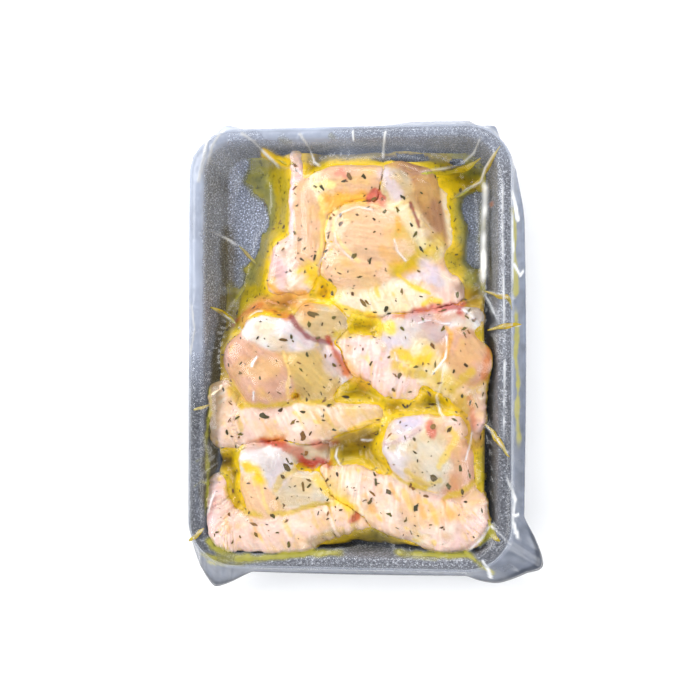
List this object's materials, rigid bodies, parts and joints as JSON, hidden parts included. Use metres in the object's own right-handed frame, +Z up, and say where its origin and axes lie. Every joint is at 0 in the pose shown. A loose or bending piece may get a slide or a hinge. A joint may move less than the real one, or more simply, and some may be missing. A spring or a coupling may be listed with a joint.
{
  "type": "meat tray pack",
  "caption": "Raw marinated chicken wings on a rectangular foam tray, drawn tight in a clear vacuum pouch.",
  "frame": {"origin": "centre of the tray's flat underside", "axes": "+X across the tray, +Y along the tray away from the viewer of the picture, +Z up out of the tray"},
  "size_m": [0.199, 0.263, 0.039],
  "materials": {
    "foam": "grey expanded foam with a fine speckle",
    "marinade": "wet oily yellow sauce with dried herbs, thin places see-through",
    "meat": "raw chicken, wet: pale pink flesh, cream skin and bluish white fat",
    "film": "clear glossy pouch film with creases"
  },
  "bodies": {
    "root": {"tray": "foam", "marinade": "marinade", "wing_1": "meat", "wing_2": "meat", "wing_3": "meat", "wing_4": "meat", "wing_5": "meat", "wing_6": "meat", "film": "film"}
  },
  "joints": []
}
